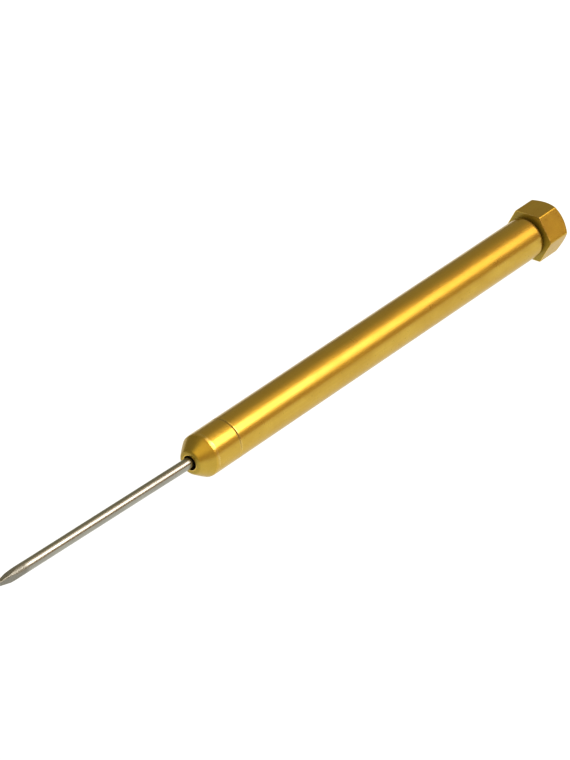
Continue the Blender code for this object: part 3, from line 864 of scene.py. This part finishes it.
def metal(name, colours, roughness, rings=0.3, lines=0.0, coat=0.0, seed=0.0):
    """Cut metal: patches of darker tone, lathe rings, drawn lines, scratches, bright edges, specks
    of grime, darker inner corners.

    The edge tone also paints light: below zero it mixes in the grime colour as painted shade, and
    on the nose's rim curve it mixes in the worn colour as a painted highlight. The colours are its
    clean, darker, worn and grimy ones.
    """
    colour, shade, worn_and_highlight, grime_and_shade = colours
    material = bpy.data.materials.new(name)
    material.use_nodes = True
    tree = material.node_tree
    shader = tree.nodes["Principled BSDF"]
    place, ring_place = lathe_coordinates(tree)
    shift = (seed, seed / 2, -seed)

    patches = remap(tree, noise(tree, place, (90, 160, 160), 4, 0.6, shift), 0.35, 0.7)
    streaks = remap(tree, noise(tree, place, (25, 2200, 2200), 3, 0.6, shift), 0.3, 0.7)
    ring_marks = noise(tree, ring_place, (5200, 5200, 1), 4, 0.7, shift)
    wide_rings = noise(tree, ring_place, (700, 700, 1), 3, 0.6, shift)
    specks = remap(tree, noise(tree, place, (1500, 1500, 1500), 2, 0.5, shift), 0.66, 0.78)
    scratches = remap(tree, noise(tree, place, (130, 5200, 3400), 2, 0.5, shift), 0.68, 0.74)

    tone = add_node(tree, "Attribute", attribute_name="wear_grime_and_painted_light").outputs["Fac"]
    broken = noise(tree, place, (900, 900, 900), 3, 0.6, shift)
    # Rubbed outer edges, and the painted highlight on the rim curve.
    wear_and_painted_highlight = combine(tree, "MULTIPLY", remap(tree, tone, 0.15, 0.9), remap(tree, broken, 0.35, 0.6))
    # Darker inner corners, and painted shade where the tone is set below zero.
    grime_and_painted_shade = remap(tree, tone, -0.1, -0.9)

    toned = mix_colour(tree, combine(tree, "MULTIPLY", patches, 0.55), colour, shade)
    toned = mix_colour(tree, combine(tree, "MULTIPLY", streaks, 0.22), toned, shade)
    toned = mix_colour(tree, remap(tree, wide_rings, 0.35, 0.75, 0.0, 0.25 * rings), toned, grime_and_shade)
    toned = mix_colour(tree, combine(tree, "MULTIPLY", specks, 0.35), toned, grime_and_shade)
    # Painted shade and darker inner corners: the grime colour where the tone is below zero.
    toned = mix_colour(tree, combine(tree, "MULTIPLY", grime_and_painted_shade, 0.8), toned, grime_and_shade)
    # Painted highlight on the rim curve, and pale rubbed edges: the worn colour where the tone is
    # above zero.
    toned = mix_colour(tree, combine(tree, "MULTIPLY", wear_and_painted_highlight, 0.7), toned, worn_and_highlight)
    tree.links.new(toned, shader.inputs["Base Color"])

    rough = remap(tree, patches, 0.0, 1.0, roughness * 0.88, roughness * 1.15)
    rough = combine(tree, "ADD", rough, remap(tree, ring_marks, 0.2, 0.8, -0.03, 0.03))
    rough = combine(tree, "ADD", rough, combine(tree, "MULTIPLY", specks, 0.12))
    rough = combine(tree, "ADD", rough, combine(tree, "MULTIPLY", grime_and_painted_shade, 0.25))
    rough = combine(tree, "SUBTRACT", rough, combine(tree, "MULTIPLY", wear_and_painted_highlight, 0.06))
    tree.links.new(rough, shader.inputs["Roughness"])

    skin_normal = bump(tree, ring_marks, 0.00002, rings)
    if lines:
        skin_normal = bump(tree, streaks, 0.00002, lines, skin_normal)
    grooves = combine(tree, "MULTIPLY", scratches, -1.0)
    skin_normal = bump(tree, grooves, 0.00001, 0.35, skin_normal)
    skin_normal = bump(tree, patches, 0.00003, 0.25, skin_normal)
    tree.links.new(skin_normal, shader.inputs["Normal"])

    # The painted shade and the darker corners are drawn partly non-metallic.
    tree.links.new(remap(tree, grime_and_painted_shade, 0.0, 1.0, 1.0, 0.3), shader.inputs["Metallic"])
    shader.inputs["Coat Weight"].default_value = coat
    shader.inputs["Coat Roughness"].default_value = 0.12
    return material


def rubber(name):
    """Moulded rubber: fine grain and bloom."""
    material = bpy.data.materials.new(name)
    material.use_nodes = True
    tree = material.node_tree
    shader = tree.nodes["Principled BSDF"]
    place, _ = lathe_coordinates(tree)
    grain = noise(tree, place, (9000, 9000, 9000), 4, 0.65)
    bloom = remap(tree, noise(tree, place, (700, 700, 700), 3, 0.5), 0.45, 0.75, 0.0, 0.5)
    colour = mix_colour(tree, bloom, (0.018, 0.018, 0.02), (0.06, 0.058, 0.055))
    tree.links.new(colour, shader.inputs["Base Color"])
    tree.links.new(remap(tree, grain, 0.3, 0.7, 0.5, 0.72), shader.inputs["Roughness"])
    tree.links.new(bump(tree, grain, 0.00001, 0.4), shader.inputs["Normal"])
    return material


BRASS = (0.635, 0.45, 0.082)
BRASS_SHADE = (0.53, 0.345, 0.045)
# Pale rubbed brass on outer edges. On the rim curve it paints a highlight.
BRASS_WORN_AND_HIGHLIGHT = (0.76, 0.60, 0.27)
# Olive grime colour. On the lip, cone and cap face it paints shade and reflection.
BRASS_GRIME_AND_PAINTED_SHADE = (0.26, 0.235, 0.012)
BRASS_EDGE_TINT = (0.78, 0.74, 0.64)


def brass(name, roughness=0.32, rings=0.15, lines=0.08, seed=0.0):
    colours = (BRASS, BRASS_SHADE, BRASS_WORN_AND_HIGHLIGHT, BRASS_GRIME_AND_PAINTED_SHADE)
    material = metal(name, colours, roughness, rings, lines, coat=0.45, seed=seed)
    shader = material.node_tree.nodes["Principled BSDF"]
    shader.inputs["Specular Tint"].default_value = (*BRASS_EDGE_TINT, 1.0)
    return material


def steel(name, colour, roughness, rings=0.3, lines=0.0, seed=0.0):
    shade = tuple(0.8 * c for c in colour)
    worn_and_highlight = tuple(min(0.8, 1.3 * c + 0.03) for c in colour)
    # Grime colour. On the spike's facets it also paints shade.
    grime_and_shade = tuple(0.25 * c for c in colour)
    return metal(name, (colour, shade, worn_and_highlight, grime_and_shade), roughness, rings, lines, seed=seed)


make_barrel(brass("barrel_brass", seed=1.0))
make_nose_cone(brass("nose_brass", rings=0.15, seed=2.0))
make_hex_cap(brass("cap_brass", 0.34, rings=0.12, lines=0.2, seed=3.0))
make_end_bush(brass("bush_brass", seed=4.0))
make_friction_ring(rubber("black_rubber"))
make_trip_sleeve(steel("sleeve_steel", (0.34, 0.33, 0.32), 0.3, seed=5.0))

make_spike(steel("ground_steel", (0.42, 0.415, 0.36), 0.27, rings=0.25, lines=0.2, seed=6.0))
make_plunger(steel("plunger_steel", (0.36, 0.35, 0.34), 0.3, seed=7.0))
make_plunger_pin(steel("pin_steel", (0.45, 0.45, 0.45), 0.28, seed=8.0))
make_trip_stem(steel("stem_steel", (0.40, 0.39, 0.37), 0.24, seed=9.0))

make_return_washer(steel("washer_steel", (0.42, 0.42, 0.43), 0.35, seed=10.0))
make_return_spring(steel("return_spring_wire", (0.44, 0.44, 0.45), 0.28, rings=0.1, seed=11.0))
make_main_spring(steel("main_spring_wire", (0.36, 0.36, 0.38), 0.3, rings=0.1, seed=12.0))
make_hammer(steel("hammer_steel", (0.30, 0.29, 0.28), 0.32, seed=13.0))
make_spring_seat(steel("seat_steel", (0.33, 0.33, 0.33), 0.33, seed=14.0))
make_thrust_ball(steel("ball_steel", (0.62, 0.62, 0.63), 0.12, rings=0.05, seed=15.0))
make_adjusting_screw(steel("screw_steel", (0.07, 0.07, 0.075), 0.4, seed=16.0))
make_grub_screw(steel("grub_steel", (0.06, 0.06, 0.065), 0.42, seed=17.0))


# Floor, light and camera.

FLOOR_HALF = 4.0
CAMERA_FROM_RIM = Vector((-0.64041, -0.58349, 0.52742))
CAMERA_DEGREES = (59.641, 2.9046, -50.8727)


def make_floor():
    """A white table that glows softly, so that shadows stay faint."""
    half = FLOOR_HALF
    corners = [(-half, -half, 0), (half, -half, 0), (half, half, 0), (-half, half, 0)]
    mesh = bpy.data.meshes.new("floor")
    mesh.from_pydata(corners, [], [(0, 1, 2, 3)])
    floor = bpy.data.objects.new("floor", mesh)
    bpy.context.scene.collection.objects.link(floor)
    material = bpy.data.materials.new("white_table")
    material.use_nodes = True
    shader = material.node_tree.nodes["Principled BSDF"]
    shader.inputs["Base Color"].default_value = (0.1, 0.1, 0.1, 1.0)
    shader.inputs["Roughness"].default_value = 0.9
    shader.inputs["Specular IOR Level"].default_value = 0.0
    shader.inputs["Emission Color"].default_value = (1.0, 1.0, 1.0, 1.0)
    shader.inputs["Emission Strength"].default_value = 1.0
    mesh.materials.append(material)


def softbox(name, bearing, distance, low, high, half_angle, radiance, colour=(1.0, 1.0, 1.0)):
    """A soft light along X from low to high that faces the tool.

    Its bearing is from straight up towards +Y. Its energy gives every point the radiance asked for.
    """
    tilt = math.radians(bearing)
    across_axis, above_axis = distance * math.sin(tilt), distance * math.cos(tilt)
    centre = Vector(((low + high) / 2, across_axis, AXIS_Z + above_axis))
    data = bpy.data.lights.new(name, "AREA")
    data.shape = "RECTANGLE"
    data.size = high - low
    data.size_y = 2 * distance * math.tan(math.radians(half_angle))
    data.energy = radiance * math.pi * data.size * data.size_y
    data.color = colour
    light = bpy.data.objects.new(name, data)
    light.location = centre
    towards_axis = Vector((0.0, -centre.y, AXIS_Z - centre.z))
    light.rotation_euler = towards_axis.to_track_quat("-Z", "Y").to_euler()
    light.visible_camera = False
    bpy.context.scene.collection.objects.link(light)


def make_light():
    """Soft lights above and in front, each mirrored in its own length of the tool.

    A wide dim warm one lies behind them, and a faint one lights the far side.
    """
    world = bpy.data.worlds.new("studio")
    bpy.context.scene.world = world
    world.use_nodes = True
    background = world.node_tree.nodes["Background"]
    background.inputs["Color"].default_value = (1.0, 0.92, 0.72, 1.0)
    background.inputs["Strength"].default_value = 0.3
    softbox("nose_light", -20, 1.2, -1.10, -0.45, 20, 0.9, (1.0, 0.95, 0.45))
    softbox("nose_glow", -20, 1.2, -1.40, -0.25, 36, 0.6, (1.0, 0.93, 0.40))
    softbox("bright_light", -39, 1.2, 0.12, 0.90, 19, 5.0)
    softbox("barrel_light", -39, 1.2, 0.90, 1.10, 19, 2.8, (0.95, 0.85, 1.0))
    softbox("spike_light", -8, 1.2, 0.45, 0.80, 13, 1.9)
    softbox("rear_light", -39, 1.2, 1.12, 1.75, 18, 0.72, (1.0, 0.70, 0.32))
    softbox("side_light", -39, 1.2, 1.85, 3.20, 19, 2.7, (1.0, 0.98, 0.74))
    softbox("back_fill", 42, 1.5, 0.20, 3.00, 35, 0.16, (1.0, 0.9, 0.5))
    softbox("warm_glow", -42, 1.5, -2.00, 2.60, 50, 0.27, (1.0, 0.38, 0.02))


def make_camera():
    data = bpy.data.cameras.new("camera")
    data.sensor_width = 36.0
    data.lens = 188.1
    data.clip_start = 0.05
    camera = bpy.data.objects.new("camera", data)
    camera.location = RIM + CAMERA_FROM_RIM
    camera.rotation_euler = Euler([math.radians(angle) for angle in CAMERA_DEGREES])
    bpy.context.scene.collection.objects.link(camera)
    bpy.context.scene.camera = camera
    view = bpy.context.scene.view_settings
    view.view_transform = "Standard"
    view.gamma = 0.82


make_floor()
make_light()
make_camera()
